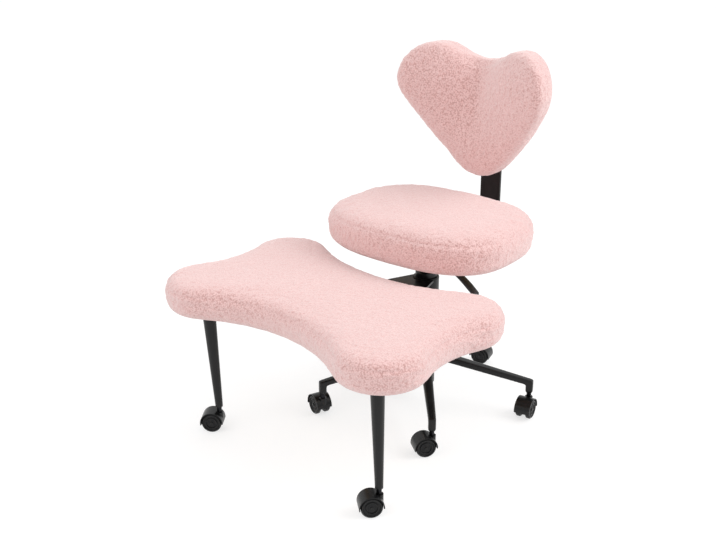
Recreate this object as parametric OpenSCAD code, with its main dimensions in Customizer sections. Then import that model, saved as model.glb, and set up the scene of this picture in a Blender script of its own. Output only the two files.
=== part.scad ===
// Cross-legged office chair: a round seat on a gas-lift column, a heart-shaped back,
// and a wide leg rest on two wheeled legs that turns round the column.
// The origin is on the floor under the column's axis. The sitter faces -Y, and +Z is up.

/* [Seat] */
// Height of the rim of the seat above the floor, with the column at its lowest
seat_h = 476; // [472:1:495]
// Width of the seat cushion
seat_w = 462; // [430:1:500]
// Reach of the seat in front of its widest line
seat_front = 170; // [160:1:200]
// Reach of the seat behind its widest line
seat_rear = 194; // [180:1:215]
// Distance of the widest line in front of the column's axis
seat_set = 0; // [0:1:20]
// Squareness of the seat's outline, where 2 is an ellipse
seat_square = 2.7; // [2:0.1:3.2]
// Thickness of the seat cushion at its rim
seat_t = 85.5; // [60:0.5:86]
// Radius of the seat's upper edge
seat_top_r = 33; // [20:1:40]
// Radius of the seat's lower edge
seat_low_r = 25; // [12:1:28]
// Rise of the middle of the seat above its rim
seat_crown = 6; // [2:1:15]

/* [Back] */
// Height of the middle of the heart above the floor
heart_h = 663; // [650:1:720]
// Distance of the middle of the heart's thickness behind the column's axis
heart_y = 219; // [215:1:240]
// Thickness of the heart at its rim
heart_t = 75; // [55:1:80]
// Half the distance between the middles of the heart's two lobes
heart_lobe_x = 113; // [100:1:120]
// Height of the lobes' middles above the heart's middle
heart_lobe_u = 71; // [60:1:80]
// Radius of each lobe
heart_lobe_r = 84; // [70:1:88]
// Radius of the hollow between the lobes
heart_notch_r = 124; // [100:1:180]
// Drop of the middle of the lower tip below the heart's middle
heart_tip_u = 74; // [70:1:90]
// Radius of the lower tip
heart_tip_r = 81; // [70:1:90]
// Radius of the two long sides
heart_side_r = 840; // [600:10:1000]
// How far the edges of the heart come forward of its middle
heart_sweep = 67; // [30:1:80]
// Radius of the heart's front edge
heart_front_r = 26; // [20:1:34]
// Radius of the heart's rear edge
heart_rear_r = 14; // [10:1:26]
// Rise of the middle of the heart's front face above its rim
heart_crown = 9; // [2:1:15]
// Width of the flat bar that carries the back
bar_w = 54; // [40:1:70]
// Thickness of the bar
bar_t = 6; // [5:1:7]

/* [Leg rest] */
// How far the rim of the leg rest is below the rim of the seat
rest_drop = 100; // [100:1:110]
// Distance of the middle of the leg rest in front of the column's axis
rest_y = 325; // [322:1:345]
// Turn of the leg rest about the column
rest_turn = -3.8; // [-10:0.1:10]
// Thickness of the leg rest's cushion at its rim
rest_t = 69; // [56:1:70]
// Half the distance between the middles of the front lobes
rest_front_x = 247; // [235:1:255]
// Reach of the front lobes in front of the middle
rest_front_y = 204; // [196:1:220]
// Radius of the front lobes
rest_front_r = 98; // [88:1:106]
// Half the distance between the middles of the rear lobes
rest_rear_x = 248; // [236:1:256]
// Reach of the rear lobes behind the middle
rest_rear_y = 222; // [205:1:224]
// Radius of the rear lobes
rest_rear_r = 91; // [84:1:100]
// Reach of the waist in front of the middle
rest_front_waist = 130; // [125:1:150]
// Reach of the waist behind the middle
rest_rear_waist = 158; // [140:1:158]
// Radius of the hollow in each short side
rest_side_r = 230; // [180:1:320]
// Radius of the leg rest's upper edge
rest_top_r = 26; // [16:1:28]
// Radius of the leg rest's lower edge
rest_low_r = 16; // [12:1:28]
// Rise of the middle of the leg rest above its rim
rest_crown = 2.5; // [2:0.5:3]
// Distance of each foot from the leg rest's middle line
foot_x = 243; // [232:1:252]
// Distance of the feet in front of the column's axis
foot_y = 429; // [422:1:445]
// Diameter of each leg under the leg rest
leg_top_d = 30; // [26:1:36]
// Diameter of each leg at its foot
leg_foot_d = 16.5; // [16:0.5:22]

/* [Column] */
// Diameter of the column's outer tube
tube_d = 50; // [46:1:52]
// How far the top of the outer tube is below the rim of the seat
tube_drop = 149; // [146:1:152]
// Diameter of the gas cylinder
cylinder_d = 28; // [26:1:30]
// How far the seat rises
lift_travel = 100; // [60:1:105]

/* [Star base] */
// Distance from the column's axis to each caster's stem
star_r = 252; // [240:1:270]
// Number of legs on the star base
star_legs = 5; // [5]
// Direction of the first leg of the star base
star_first = -50; // [-60:1:-40]
// Height of the top of the star base at its hub
star_top = 132; // [126:1:138]
// Height of the top of the star base at its casters
star_end_top = 87; // [84:1:92]
// Diameter of the hub
hub_d = 62; // [58:1:70]

/* [Casters] */
// Diameter of each wheel
wheel_d = 45; // [43:0.5:46]
// Width of each wheel
wheel_w = 10.5; // [9:0.5:13]
// Width of the web between two wheels
web_w = 12.5; // [12:0.5:14]
// Distance of the axle behind the stem
trail = 16.5; // [15:0.5:18]
// Diameter of the stem where it shows
stem_d = 11; // [10:0.5:12]
// Wall of the hood over the wheels
hood_wall = 2.1; // [1.8:0.1:2.6]

/* [Lever] */
// Distance of the lever in front of the column's axis
lever_y = 24; // [24:1:34]
// Reach of the lever from the column's axis
lever_reach = 156; // [140:1:157]
// Droop of the lever below level
lever_droop = 35.5; // [25:0.5:38]
// Width of the lever's grip
grip_w = 20; // [16:1:24]

/* [Hidden] */
$fn = 64;

// Colours
fabric_pink = [0.93, 0.72, 0.71];
steel_black = [0.10, 0.10, 0.11];
plastic_black = [0.14, 0.14, 0.15];
nylon_black = [0.18, 0.18, 0.19];
bright_steel = [0.78, 0.79, 0.80];
plywood_tan = [0.78, 0.64, 0.46];

// Clearances
fit = 0.05;
soft_gap = 0.3;
rim_gap = 0.8;
overrun = 1;

// Cushions and the boards that they are pulled over
board_t = 12;
lip_w = 8;
side_tuck = 4;
seat_low = seat_h - seat_t;
board_low = seat_low - soft_gap;
rest_h = seat_h - rest_drop;
rest_low = rest_h - rest_t;
rest_board_low = rest_low - soft_gap;
seat_points = 64;
edge_steps = 3;
crown_shares = [0.25, 0.5, 0.75];

// Outline of the leg rest: the lobes' middles and the hollows that join them
front_lobe = [rest_front_x, rest_front_r - rest_front_y];
rear_lobe = [rest_rear_x, rest_rear_y - rest_rear_r];
front_dip = rest_front_waist + front_lobe.y;
rear_dip = rest_rear_waist - rear_lobe.y;
front_waist_r = hollow_radius(rest_front_x, rest_front_r, front_dip);
rear_waist_r = hollow_radius(rest_rear_x, rest_rear_r, rear_dip);
front_waist_y = front_lobe.y - leg_of(front_waist_r + rest_front_r, rest_front_x);
rear_waist_y = rear_lobe.y + leg_of(rear_waist_r + rest_rear_r, rest_rear_x);
side_c = meeting(front_lobe, rear_lobe, rest_side_r + rest_front_r, rest_side_r + rest_rear_r, -1);
front_waist_a = bearing([0, front_waist_y], front_lobe);
rear_waist_a = -bearing([0, rear_waist_y], rear_lobe);
front_side_a = bearing(front_lobe, side_c);
rear_side_a = bearing(rear_lobe, side_c);
rest_arcs = [
    arc([0, front_waist_y], front_waist_r, 180 - front_waist_a, front_waist_a, -1, 8),
    arc(front_lobe, rest_front_r, front_waist_a - 180, front_side_a, 1, 11),
    arc(side_c, rest_side_r, front_side_a + 180, rear_side_a + 180, -1, 6),
    arc(rear_lobe, rest_rear_r, rear_side_a, 180 - rear_waist_a, 1, 11),
    arc([0, rear_waist_y], rear_waist_r, -rear_waist_a, rear_waist_a - 180, -1, 8),
    arc(flip(rear_lobe), rest_rear_r, rear_waist_a, 180 - rear_side_a, 1, 11),
    arc(flip(side_c), rest_side_r, -rear_side_a, -front_side_a, -1, 6),
    arc(flip(front_lobe), rest_front_r, 180 - front_side_a, 360 - front_waist_a, 1, 11)
];

// Outline of the heart: two lobes, the notch between them, two long sides and the tip
heart_lobe = [heart_lobe_x, heart_lobe_u];
heart_tip = [0, -heart_tip_u];
notch_u = heart_lobe_u + leg_of(heart_notch_r + heart_lobe_r, heart_lobe_x);
heart_side_c = meeting(heart_tip, heart_lobe, heart_side_r - heart_tip_r, heart_side_r - heart_lobe_r, 1);
tip_a = bearing(heart_side_c, heart_tip);
lobe_a = bearing(heart_side_c, heart_lobe);
notch_a = -bearing([0, notch_u], heart_lobe);
heart_half_w = heart_lobe_x + heart_lobe_r;
heart_arcs = [
    arc(heart_side_c, heart_side_r, tip_a, lobe_a, 1, 7),
    arc(heart_lobe, heart_lobe_r, lobe_a, 180 - notch_a, 1, 14),
    arc([0, notch_u], heart_notch_r, -notch_a, notch_a - 180, -1, 8),
    arc(flip(heart_lobe), heart_lobe_r, notch_a, 180 - lobe_a, 1, 14),
    arc(flip(heart_side_c), heart_side_r, 180 - lobe_a, 180 - tip_a, 1, 7),
    arc(heart_tip, heart_tip_r, 180 - tip_a, 360 + tip_a, 1, 9)
];

// Bolts
bolt_d = 6;
bolt_head_d = 12;
bolt_head_t = 3.5;
bolt_grip = 12;

// Back bar
bar_start = 78;
bar_bend_r = 16;
bar_top = heart_h + heart_lobe_u;
bar_y = heart_y + heart_t / 2 + 4 * soft_gap;
bar_seat_bolts = [98, 150];
bar_back_bolts = [-60, 20];

// Seat plate and its pan
plate_w = 190;
plate_d = 150;
plate_t = 3;
plate_corner = 14;
plate_bolt_x = 78;
plate_bolt_y = 58;
pan_x = 52;
pan_front = 52;
pan_rear = 44;
pan_depth = 27;
pan_low = board_low - pan_depth;
boss_d = cylinder_d + 16;
boss_drop = 20;
slot_w = 14;

// Column
tube_top = seat_h - tube_drop;
tube_r = tube_d / 2;
tube_wall = 2;
tube_low = 50;
tube_floor = 3;
bush_len = 70;
bush_collar = 3;
bearing_t = 6;
bearing_d = 30;
rod_d = 10;
rod_neck_d = 9;
rod_shoulder_d = 18;
rod_shoulder_t = 5;
rod_end = tube_low - 6;
clip_d = 20;
clip_t = 1.6;
clip_groove_d = 7;
cylinder_low = 76;
cylinder_cap = 10;
cylinder_wall = 1.8;
cylinder_top = pan_low + 12;
piston_t = 8;
piston_low = cylinder_low + lift_travel + cylinder_cap + 4;
button_d = 6;
button_reach = 5;
button_len = 16;
button_top = cylinder_top + button_reach;

// Lever: a rod on a cross shaft, with a finger over the valve button
shaft_d = 8;
shaft_x = 43;
finger_gap = 0.4;
finger_t = 4;
finger_w = 10;
shaft_z = button_top + finger_gap + finger_t / 2 - 2;
ear_t = 4;
ear_y = 10;
ear_w = 14;
lever_d = 9;
lever_bend_x = 65;
lever_swell = 0.5;
grip_start = 34;
grip_t = 9;
grip_r = 4;
lever_len = (lever_reach - lever_bend_x) / cos(lever_droop);

// Leg rest's legs
leg_top = rest_board_low;
flange_d = 78;
flange_t = 5;
flange_bolt_r = 30;
leg_foot_z = 59;
leg_rake = 10;
leg_top_y = rest_y + rest_front_y - rest_front_r + leg_rake;

// Swing arm and its sleeve
arm_t = 5;
arm_top = rest_board_low;
sleeve_headroom = 11;
arm_root = tube_top - sleeve_headroom;
arm_slope_from = 72;
arm_slope_to = 150;
arm_neck = 26;
arm_wide = 74;
arm_flare_y = 135;
arm_reach = 304;
arm_corner = 18;
sleeve_d = tube_d + 10;
sleeve_len = 40;
sleeve_low = arm_root - sleeve_len;
bush_wall = 2;
bush_flange_t = 2;
arm_bolt_x = 46;
arm_bolt_edge = 20;
arm_bolt_gap = 42;
arm_bolts = [[arm_bolt_x, arm_reach - arm_bolt_edge - arm_bolt_gap], [arm_bolt_x, arm_reach - arm_bolt_edge]];

// Star base
hub_low = 80;
hub_chamfer = 3;
leg_root_w = 27;
leg_root_h = 16;
leg_end_w = 17;
leg_end_h = 11;
leg_edge_r = 4;
socket_low = 54;
socket_tip_d = 13.5;
socket_depth = 20;
star_step = 360 / star_legs;

// Casters: where each one stands and the way that its wheels trail
wheel_r = wheel_d / 2;
wheel_play = 0.4;
axle_d = 7;
axle_in = 2;
axle_half = web_w / 2 + wheel_play + wheel_w - axle_in;
hood_gap = 1.2;
hood_in_r = wheel_r + hood_gap;
hood_r = hood_in_r + hood_wall;
hood_lip = 1.5;
hood_half = web_w / 2 + wheel_play + wheel_w + hood_lip;
hood_lead = 4;
hood_tail = 11;
web_r = 16;
boss_r = 9;
boss_top = 45;
stem_low = 26;
stem_journal_d = 8;
stem_fit = 0.1;
tyre_edge = 2;
dish_depth = 1.6;
dish_r = wheel_r - 4;
cap_r = 7;
rest_foot_angle = atan2(-foot_y, foot_x) + rest_turn;
rest_foot_angle_2 = atan2(-foot_y, -foot_x) + rest_turn;
rest_foot_r = sqrt(foot_x * foot_x + foot_y * foot_y);
casters = [
    [star_r, star_first, 232],
    [star_r, star_first + star_step, 279],
    [star_r, star_first + 2 * star_step, 15],
    [star_r, star_first + 3 * star_step, 190],
    [star_r, star_first + 4 * star_step, 159],
    [rest_foot_r, rest_foot_angle, 227.5],
    [rest_foot_r, rest_foot_angle_2, 215.5]
];

// Geometry of outlines
function arc(middle, r, from, to, bulge, steps) = [middle, r, from, to, bulge, steps];
function flip(p) = [-p.x, p.y];
function leg_of(slant, side) = sqrt(slant * slant - side * side);
function bearing(from, to) = atan2(to.y - from.y, to.x - from.x);
function hollow_radius(x, r, dip) = (dip * dip + x * x - r * r) / (2 * (r - dip));
function meeting(p, q, from_p, from_q, side) =
    let (d = norm(q - p), e = (q - p) / d)
    let (a = (from_p * from_p - from_q * from_q + d * d) / (2 * d))
    p + e * a + side * leg_of(from_p, a) * [-e.y, e.x];
function arc_outline(arcs, inset) = [
    for (a = arcs) for (i = [0:a[5] - 1])
        let (t = a[2] + (a[3] - a[2]) * i / a[5], r = a[1] - a[4] * inset)
            a[0] + r * [cos(t), sin(t)]
];
function signed_power(v, p) = sign(v) * pow(abs(v), p);
function seat_outline(inset) = [
    for (i = [0:seat_points - 1])
        let (t = 360 * i / seat_points, reach = sin(t) < 0 ? seat_front : seat_rear)
            [(seat_w / 2 - inset) * signed_power(cos(t), 2 / seat_square),
             (reach - inset) * signed_power(sin(t), 2 / seat_square) - seat_set]
];
function outline(shape, inset) =
    shape == "seat" ? seat_outline(inset) : arc_outline(shape == "rest" ? rest_arcs : heart_arcs, inset);
function shrink(points, share) = [for (p = points) p * (1 - share)];
function board_inset(low_r) = low_r + lip_w;

// One ring of a cushion for each step of its section, as [outline points, height above its back]
function soft_rings(shape, t, top_r, low_r, crown) =
    let (inner = board_inset(low_r), pocket = board_t)
    concat(
        [for (i = [len(crown_shares) - 1:-1:0]) [shrink(outline(shape, inner), crown_shares[i]), pocket]],
        [[outline(shape, inner), pocket], [outline(shape, inner), 0]],
        [for (i = [0:edge_steps])
            let (a = 90 * i / edge_steps)
                [outline(shape, side_tuck + low_r * (1 - sin(a))), low_r * (1 - cos(a))]],
        [for (i = [0:edge_steps + 1])
            let (a = 90 * i / (edge_steps + 1))
                [outline(shape, top_r * (1 - cos(a))), t - top_r * (1 - sin(a))]],
        [for (s = crown_shares)
            [shrink(outline(shape, top_r), s), t + crown * (1 - (1 - s) * (1 - s))]]
    );
function board_rings(shape, low_r) =
    let (edge = outline(shape, board_inset(low_r) + rim_gap))
    concat(
        [for (i = [len(crown_shares) - 1:-1:0]) [shrink(edge, crown_shares[i]), -soft_gap]],
        [[edge, -soft_gap], [edge, board_t - 2 * soft_gap]],
        [for (s = crown_shares) [shrink(edge, s), board_t - 2 * soft_gap]]
    );
function on_back(p, l) =
    [p.x, heart_y + heart_t / 2 - l - heart_sweep * pow(p.x / heart_half_w, 2), heart_h + p.y];
function upright(rings) = [for (r = rings) [for (p = r[0]) on_back(p, r[1])]];
function level(rings, low) = [for (r = rings) [for (p = r[0]) [p.x, p.y, low + r[1]]]];

// Closed solid through rings of points, with a point in the middle of each end; turned crosses
// the other corners of each face, so that a board lies flat against the pocket that holds it
module ring_solid(rings, first, last, turned = 0) {
    n = len(rings[0]);
    m = len(rings);
    points = concat([first], [for (r = rings) for (p = r) p], [last]);
    faces = concat(
        [for (i = [0:n - 1]) [0, 1 + i, 1 + (i + 1) % n]],
        [for (k = [0:m - 2]) for (i = [0:n - 1])
            [1 + k * n + i, 1 + (k + 1) * n + i, 1 + (k + turned) * n + (i + 1) % n]],
        [for (k = [0:m - 2]) for (i = [0:n - 1])
            [1 + k * n + (i + 1) % n, 1 + (k + 1 - turned) * n + i, 1 + (k + 1) * n + (i + 1) % n]],
        [for (i = [0:n - 1]) [1 + m * n, 1 + (m - 1) * n + (i + 1) % n, 1 + (m - 1) * n + i]]
    );
    polyhedron(points, faces);
}
module rounded_plate(w, d, r, t) {
    linear_extrude(t) rounded_rect(w, d, r);
}
module rounded_rect(w, d, r) {
    difference() {
        square([w, d], center = true);
        for (x = [-1, 1], y = [-1, 1])
            translate([x * (w / 2 - r / 2 + overrun / 2), y * (d / 2 - r / 2 + overrun / 2)])
                square(r + overrun, center = true);
    }
    for (x = [-1, 1], y = [-1, 1])
        translate([x * (w / 2 - r), y * (d / 2 - r)])
            circle(r);
}

// Bolt with its head down, its shank going up from the height where the head seats
module bolt(grip) {
    translate([0, 0, -bolt_head_t])
        cylinder(h = bolt_head_t, d = bolt_head_d);
    cylinder(h = grip, d = bolt_d);
}
module bolt_hole(t) {
    translate([0, 0, -overrun])
        cylinder(h = t + 2 * overrun, d = bolt_d);
}
module at_plate_bolts(z) {
    for (x = [-1, 1], y = [-1, 1])
        translate([x * plate_bolt_x, y * plate_bolt_y, z])
            children();
}
module at_bar_seat_bolts(z) {
    for (y = bar_seat_bolts)
        translate([0, y, z])
            children();
}
module at_bar_back_bolts(y) {
    for (u = bar_back_bolts)
        translate([0, y, heart_h + u])
            rotate([90, 0, 0])
                children();
}
module at_arm_bolts(z) {
    for (p = arm_bolts, s = [-1, 1])
        translate([s * p.x, -p.y, z])
            children();
}
module at_flange_bolts(side, z) {
    for (a = [90, 210, 330])
        translate([side * rest_front_x, -leg_top_y, z])
            rotate(a)
                translate([flange_bolt_r, 0])
                    children();
}
module on_rest() {
    rotate(rest_turn) children();
}

// Star base
module star_hub() {
    color(steel_black) rotate_extrude()
        polygon([
            [tube_r, hub_low],
            [hub_d / 2 - hub_chamfer, hub_low],
            [hub_d / 2, hub_low + hub_chamfer],
            [hub_d / 2, star_top - hub_chamfer],
            [hub_d / 2 - hub_chamfer, star_top],
            [tube_r, star_top]
        ]);
}
module star_leg(k) {
    end_low = socket_low + leg_edge_r;
    color(steel_black) rotate(star_first + star_step * (k - 1)) difference() {
        union() {
            hull() {
                translate([hub_d / 2 - leg_edge_r, 0, star_top - hub_chamfer - leg_root_h / 2])
                    rotate([90, 0, 90])
                        linear_extrude(leg_edge_r)
                            rounded_rect(leg_root_w, leg_root_h, leg_edge_r, $fn = 16);
                translate([star_r, 0, star_end_top - leg_end_h])
                    rounded_plate(leg_end_w, leg_end_w, leg_edge_r, leg_end_h, $fn = 20);
            }
            translate([star_r, 0, end_low])
                rounded_plate(leg_end_w, leg_end_w, leg_edge_r, star_end_top - leg_end_h / 2 - end_low, $fn = 20);
            translate([star_r, 0])
                rotate_extrude()
                    polygon([[0, socket_low], [socket_tip_d / 2, socket_low], [leg_end_w / 2, end_low], [0, end_low]]);
        }
        translate([0, 0, -overrun])
            cylinder(h = star_top + 2 * overrun, d = hub_d);
        translate([star_r, 0, socket_low - overrun])
            cylinder(h = socket_depth + overrun, d = stem_d);
    }
}
module caster_stem() {
    translate([0, 0, boss_top + soft_gap])
        cylinder(h = socket_low + socket_depth - boss_top - soft_gap, d = stem_d);
    translate([0, 0, stem_low])
        cylinder(h = boss_top + soft_gap - stem_low, d = stem_journal_d);
}
module base_caster_stems() {
    color(bright_steel)
        for (k = [0:star_legs - 1])
            rotate(casters[k][1]) translate([casters[k][0], 0]) caster_stem();
}

// Column
module column_tube() {
    color(steel_black) difference() {
        translate([0, 0, tube_low])
            cylinder(h = tube_top - tube_low, d = tube_d);
        translate([0, 0, tube_low + tube_floor])
            cylinder(h = tube_top, d = tube_d - 2 * tube_wall);
        translate([0, 0, tube_low - overrun])
            cylinder(h = tube_top, d = rod_neck_d + 2 * fit);
    }
}
module guide_bush() {
    color(nylon_black) difference() {
        union() {
            translate([0, 0, tube_top - bush_len])
                cylinder(h = bush_len, d = tube_d - 2 * tube_wall);
            translate([0, 0, tube_top])
                cylinder(h = bush_collar, d = tube_d);
        }
        translate([0, 0, tube_top - bush_len - overrun])
            cylinder(h = bush_len + bush_collar + 2 * overrun, d = cylinder_d + 2 * fit);
    }
}
module thrust_bearing() {
    color(bright_steel) translate([0, 0, tube_low + tube_floor]) difference() {
        cylinder(h = bearing_t, d = bearing_d);
        translate([0, 0, -overrun])
            cylinder(h = bearing_t + 2 * overrun, d = rod_neck_d + 2 * fit);
    }
}
module piston_rod() {
    shoulder = tube_low + tube_floor + bearing_t + fit;
    clip_high = tube_low - fit;
    color(bright_steel) rotate_extrude()
        polygon([
            [0, rod_end],
            [rod_neck_d / 2, rod_end],
            [rod_neck_d / 2, clip_high - clip_t],
            [clip_groove_d / 2, clip_high - clip_t],
            [clip_groove_d / 2, clip_high],
            [rod_neck_d / 2, clip_high],
            [rod_neck_d / 2, shoulder],
            [rod_shoulder_d / 2, shoulder],
            [rod_shoulder_d / 2, shoulder + rod_shoulder_t],
            [rod_d / 2, shoulder + rod_shoulder_t],
            [rod_d / 2, piston_low],
            [cylinder_d / 2 - cylinder_wall - fit, piston_low],
            [cylinder_d / 2 - cylinder_wall - fit, piston_low + piston_t],
            [0, piston_low + piston_t]
        ]);
}
module retaining_clip() {
    color(bright_steel) translate([0, 0, tube_low - fit - clip_t]) difference() {
        cylinder(h = clip_t, d = clip_d);
        translate([0, 0, -overrun])
            cylinder(h = clip_t + 2 * overrun, d = clip_groove_d);
    }
}
module gas_cylinder() {
    color(steel_black) difference() {
        translate([0, 0, cylinder_low])
            cylinder(h = cylinder_top - cylinder_low, d = cylinder_d);
        translate([0, 0, cylinder_low + cylinder_cap])
            cylinder(h = cylinder_top - cylinder_low - cylinder_cap - button_len, d = cylinder_d - 2 * cylinder_wall);
        translate([0, 0, cylinder_low - overrun])
            cylinder(h = cylinder_cap + 2 * overrun, d = rod_d + 2 * fit);
        translate([0, 0, cylinder_top - button_len - overrun])
            cylinder(h = button_len + 2 * overrun, d = button_d + 2 * fit);
    }
}
module valve_button() {
    color(bright_steel) translate([0, 0, button_top - button_len])
        cylinder(h = button_len, d = button_d);
}

// Seat plate: a flat flange with a deep pan and the boss that the gas cylinder seats in
module seat_plate() {
    pan_mid = (pan_rear - pan_front) / 2;
    pan_d = pan_rear + pan_front;
    color(steel_black) difference() {
        union() {
            translate([0, 0, board_low - plate_t])
                rounded_plate(plate_w, plate_d, plate_corner, plate_t);
            translate([0, pan_mid, pan_low])
                rounded_plate(2 * pan_x, pan_d, plate_corner / 2, pan_depth);
            translate([0, 0, pan_low - boss_drop])
                cylinder(h = boss_drop + plate_t, d = boss_d);
        }
        difference() {
            translate([0, pan_mid, pan_low + plate_t])
                rounded_plate(2 * (pan_x - plate_t), pan_d - 2 * plate_t, plate_corner / 4, pan_depth);
            for (y = [-lever_y - ear_y - ear_t, ear_y])
                translate([shaft_x - ear_w / 2, y, pan_low])
                    cube([pan_x - plate_t - shaft_x + ear_w / 2 + overrun, ear_t, shaft_z + ear_w / 2 - pan_low]);
        }
        translate([0, 0, pan_low - boss_drop - overrun])
            cylinder(h = boss_drop + pan_depth, d = cylinder_d);
        translate([shaft_x, -lever_y - ear_y - ear_t - overrun, shaft_z])
            rotate([-90, 0, 0])
                cylinder(h = lever_y + 2 * (ear_y + ear_t) + 2 * overrun, d = shaft_d + 2 * fit);
        translate([pan_x - plate_t - overrun, -lever_y - slot_w / 2, shaft_z - slot_w / 2])
            cube([pan_x, slot_w, board_low - plate_t - shaft_z + slot_w / 2]);
        at_plate_bolts(board_low - plate_t)
            bolt_hole(plate_t);
    }
}

// Release lever, with its cross shaft turning in the two ears of the pan
module along_lever() {
    translate([lever_bend_x, -lever_y, shaft_z])
        rotate([0, 90 + lever_droop, 0])
            children();
}
module release_lever() {
    color(steel_black) {
        translate([shaft_x, -lever_y - ear_y - ear_t, shaft_z])
            rotate([-90, 0, 0])
                cylinder(h = lever_y + 2 * (ear_y + ear_t), d = shaft_d);
        translate([-button_d, -finger_w / 2, button_top + finger_gap])
            cube([shaft_x + button_d, finger_w, finger_t]);
        translate([shaft_x, -lever_y, shaft_z])
            rotate([0, 90, 0])
                cylinder(h = lever_bend_x - shaft_x, d = lever_d);
        translate([lever_bend_x, -lever_y, shaft_z])
            sphere(d = lever_d + lever_swell);
        along_lever()
            cylinder(h = lever_len - grip_r - grip_t, d = lever_d);
    }
}
module lever_grip() {
    color(plastic_black) along_lever() difference() {
        hull() {
            for (y = [-1, 1]) {
                translate([0, y * (grip_w / 2 - grip_t), grip_start])
                    cylinder(h = grip_t, d = lever_d + grip_r, $fn = 24);
                translate([0, y * (grip_w / 2 - grip_r), lever_len - grip_r])
                    sphere(r = grip_r, $fn = 24);
            }
        }
        translate([0, 0, grip_start - overrun])
            cylinder(h = lever_len - grip_start - grip_r - grip_t + overrun, d = lever_d);
    }
}

// Seat
module seat_board() {
    color(plywood_tan) difference() {
        translate([0, 0, board_low])
            linear_extrude(board_t - soft_gap)
                polygon(outline("seat", board_inset(seat_low_r) + rim_gap));
        at_plate_bolts(board_low)
            bolt_hole(board_t);
        at_bar_seat_bolts(board_low)
            bolt_hole(board_t);
    }
}
module seat_cushion() {
    rings = level(soft_rings("seat", seat_t, seat_top_r, seat_low_r, seat_crown), seat_low);
    color(fabric_pink)
        ring_solid(rings, [0, 0, seat_low + board_t], [0, 0, seat_h + seat_crown]);
}
module seat_bolts() {
    color(bright_steel) {
        at_plate_bolts(board_low - plate_t)
            bolt(bolt_grip);
        at_bar_seat_bolts(board_low - bar_t)
            bolt(bolt_grip + bar_t - plate_t);
        at_bar_back_bolts(bar_y + bar_t)
            bolt(bolt_grip + bar_t - plate_t);
    }
}

// Back
module back_bar() {
    low = board_low - bar_t;
    out_r = bar_bend_r + bar_t;
    color(steel_black) difference() {
        translate([-bar_w / 2, 0, 0]) rotate([90, 0, 90]) linear_extrude(bar_w) {
            translate([bar_start, low])
                square([bar_y + bar_t - out_r - bar_start, bar_t]);
            translate([bar_y, low + out_r])
                square([bar_t, bar_top - low - out_r]);
            translate([bar_y + bar_t - out_r, low + out_r]) intersection() {
                difference() {
                    circle(out_r);
                    circle(bar_bend_r);
                }
                translate([0, -out_r - overrun])
                    square(out_r + overrun);
            }
        }
        at_bar_seat_bolts(low)
            bolt_hole(bar_t);
        at_bar_back_bolts(bar_y + bar_t)
            bolt_hole(bar_t);
    }
}
module back_board() {
    rings = upright(board_rings("heart", heart_rear_r));
    color(plywood_tan) difference() {
        ring_solid(rings, on_back([0, 0], -soft_gap), on_back([0, 0], board_t - 2 * soft_gap), 1);
        at_bar_back_bolts(bar_y)
            bolt_hole(board_t);
    }
}
module back_cushion() {
    rings = upright(soft_rings("heart", heart_t, heart_front_r, heart_rear_r, heart_crown));
    color(fabric_pink)
        ring_solid(rings, on_back([0, 0], board_t), on_back([0, 0], heart_t + heart_crown));
}

// Leg rest
module leg_rest_board() {
    color(plywood_tan) on_rest() difference() {
        translate([0, -rest_y, rest_board_low])
            linear_extrude(board_t - soft_gap)
                polygon(outline("rest", board_inset(rest_low_r) + rim_gap));
        at_arm_bolts(rest_board_low)
            bolt_hole(board_t);
        for (side = [-1, 1])
            at_flange_bolts(side, rest_board_low)
                bolt_hole(board_t);
    }
}
module leg_rest_cushion() {
    rings = level(soft_rings("rest", rest_t, rest_top_r, rest_low_r, rest_crown), rest_low);
    color(fabric_pink) on_rest() translate([0, -rest_y])
        ring_solid(rings, [0, 0, rest_low + board_t], [0, 0, rest_h + rest_crown]);
}
module leg_rest_leg(side) {
    rise = leg_top - flange_t - leg_foot_z;
    lean_x = side * (foot_x - rest_front_x);
    lean_y = leg_top_y - foot_y;
    lean = atan2(norm([lean_x, lean_y]), rise);
    color(steel_black) on_rest() difference() {
        union() {
            translate([side * rest_front_x, -leg_top_y, leg_top - flange_t])
                cylinder(h = flange_t, d = flange_d);
            intersection() {
                translate([side * foot_x, -foot_y, leg_foot_z])
                    rotate([0, 0, atan2(-lean_y, -lean_x)])
                        rotate([0, lean, 0])
                            translate([0, 0, -flange_t])
                                cylinder(h = rise / cos(lean) + 2 * flange_t, d1 = leg_foot_d, d2 = leg_top_d);
                translate([side * foot_x, -foot_y, leg_foot_z])
                    cylinder(h = leg_top - leg_foot_z, d = flange_d);
            }
        }
        translate([side * foot_x, -foot_y, leg_foot_z - overrun])
            cylinder(h = socket_depth + overrun, d = stem_d);
        at_flange_bolts(side, leg_top - flange_t)
            bolt_hole(flange_t);
    }
}
module leg_rest_bolts() {
    color(bright_steel) on_rest() {
        at_arm_bolts(arm_top - arm_t)
            bolt(bolt_grip);
        for (side = [-1, 1])
            at_flange_bolts(side, leg_top - flange_t)
                bolt(bolt_grip);
    }
}
module leg_rest_caster_stems() {
    color(bright_steel)
        for (k = [star_legs, star_legs + 1])
            rotate(casters[k][1]) translate([casters[k][0], 0]) caster_stem();
}

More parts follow.
